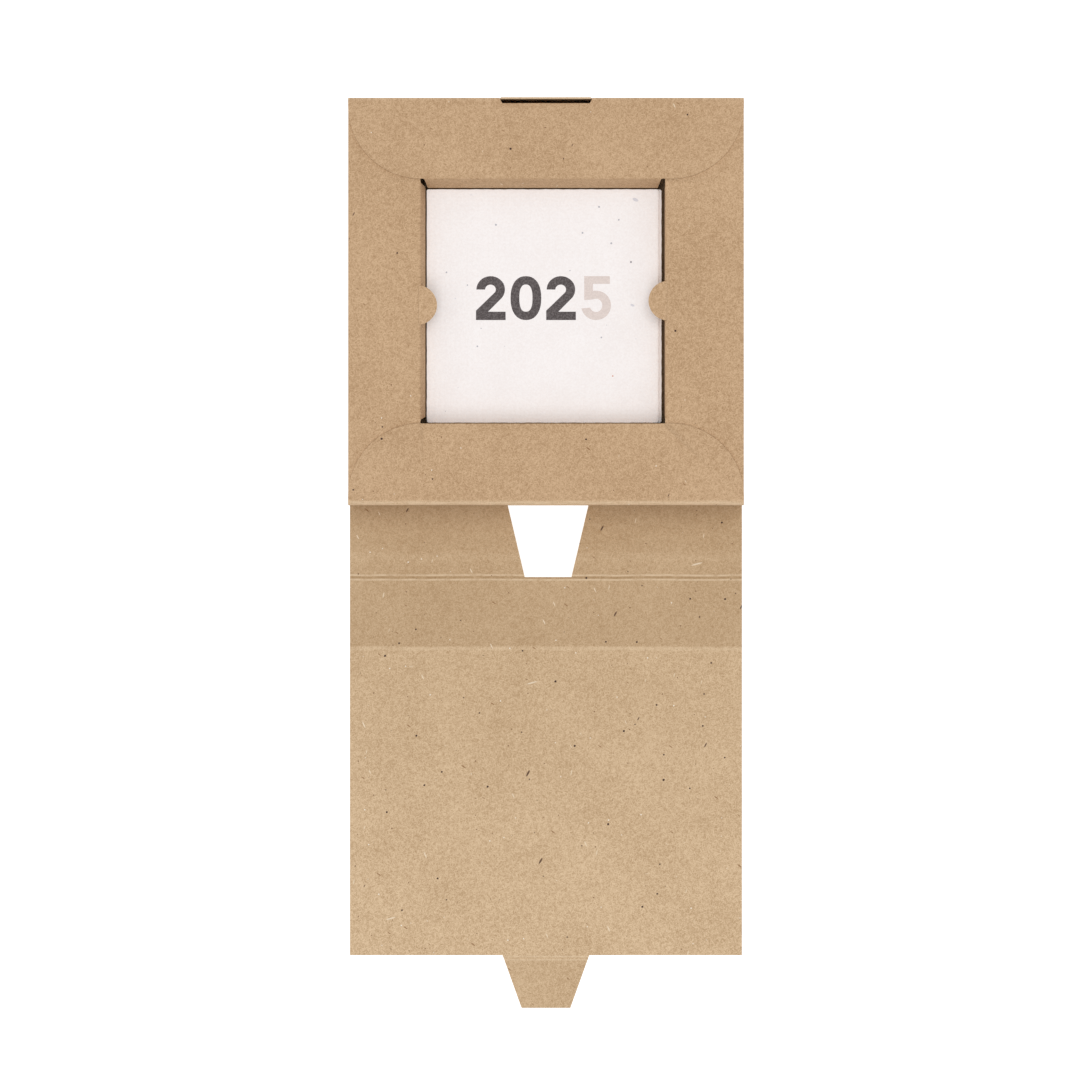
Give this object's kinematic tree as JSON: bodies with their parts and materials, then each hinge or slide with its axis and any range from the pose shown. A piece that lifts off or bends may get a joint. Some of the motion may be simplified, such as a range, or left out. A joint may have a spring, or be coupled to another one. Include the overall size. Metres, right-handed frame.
{
  "type": "flip desk calendar",
  "caption": "Folded board desk calendar, shown open: a shallow tray frames a stack of square cards, and a creased cover with a closing tab folds over it or back into a stand.",
  "frame": {"origin": "under the centre of the open calendar, on the surface that it lies on", "axes": "+X along the cover's hinge, +Y from the closing tab towards the head of the box, +Z out of the window"},
  "size_m": [0.11, 0.2542, 0.016],
  "materials": {
    "cover_board": "uncoated kraft board, the speckled inner face of the sheet, matt",
    "tray_board": "uncoated kraft board, the smoother outer face of the sheet, matt",
    "card_paper": "thick off-white handmade paper with small coloured flecks"
  },
  "bodies": {
    "box": {"cover_back_panel": "cover_board", "tray_back_panel": "tray_board", "top_wall": "tray_board", "bottom_wall": "tray_board", "left_wall": "tray_board", "right_wall": "tray_board", "top_flap": "tray_board", "bottom_flap": "tray_board", "left_strip": "tray_board", "right_strip": "tray_board", "top_inner_flap": "tray_board", "bottom_inner_flap": "tray_board", "left_inner_flap": "tray_board", "right_inner_flap": "tray_board", "month_card_01": "card_paper", "month_card_02": "card_paper", "month_card_03": "card_paper", "month_card_04": "card_paper", "month_card_05": "card_paper", "month_card_06": "card_paper", "month_card_07": "card_paper", "month_card_08": "card_paper", "month_card_09": "card_paper", "month_card_10": "card_paper", "month_card_11": "card_paper", "month_card_12": "card_paper"},
    "spine": {"cover_spine_left": "cover_board", "cover_spine_right": "cover_board"},
    "band": {"cover_band_left": "cover_board", "cover_band_right": "cover_board"},
    "foot": {"cover_foot_panel": "cover_board"},
    "main": {"cover_main_panel": "cover_board"},
    "tab": {"closing_tab": "cover_board"},
    "top_card": {"cover_card": "card_paper"},
    "left_retainer": {"left_retaining_tab": "tray_board"},
    "right_retainer": {"right_retaining_tab": "tray_board"}
  },
  "joints": [
    {"name": "cover_hinge", "type": "hinge", "parent": "box", "child": "spine", "pos_m": [0, 0.01375, 0.00045], "axis": [-1, 0, 0], "range_deg": [-90, 90]},
    {"name": "spine_bend", "type": "hinge", "parent": "spine", "child": "band", "pos_m": [0, -0.0004, 0.00045], "axis": [-1, 0, 0], "range_deg": [0, 90]},
    {"name": "crease_1", "type": "hinge", "parent": "band", "child": "foot", "pos_m": [0, -0.0062, 0], "axis": [-1, 0, 0], "range_deg": [-60, 0]},
    {"name": "crease_2", "type": "hinge", "parent": "foot", "child": "main", "pos_m": [0, -0.0259, 0], "axis": [-1, 0, 0], "range_deg": [-49.5, 0]},
    {"name": "tab_fold", "type": "hinge", "parent": "main", "child": "tab", "pos_m": [0, -0.1128, 0.00045], "axis": [-1, 0, 0], "range_deg": [-40, 110]},
    {"name": "top_card_lift", "type": "slide", "parent": "box", "child": "top_card", "axis": [0, 0, -1], "range_m": [-0.007, 0]},
    {"name": "left_retainer_bend", "type": "hinge", "parent": "box", "child": "left_retainer", "pos_m": [-0.0349, 0.0695, 0.01395], "axis": [0, -1, 0], "range_deg": [0, 95.01]},
    {"name": "right_retainer_bend", "type": "hinge", "parent": "box", "child": "right_retainer", "pos_m": [0.0331, 0.0707, 0.01395], "axis": [0, 1, 0], "range_deg": [0, 95.01]}
  ],
  "couplings": [
    {"joint": "left_retainer_bend", "follows": "top_card_lift", "rad_per_m": -236.87},
    {"joint": "right_retainer_bend", "follows": "top_card_lift", "rad_per_m": -236.87}
  ]
}
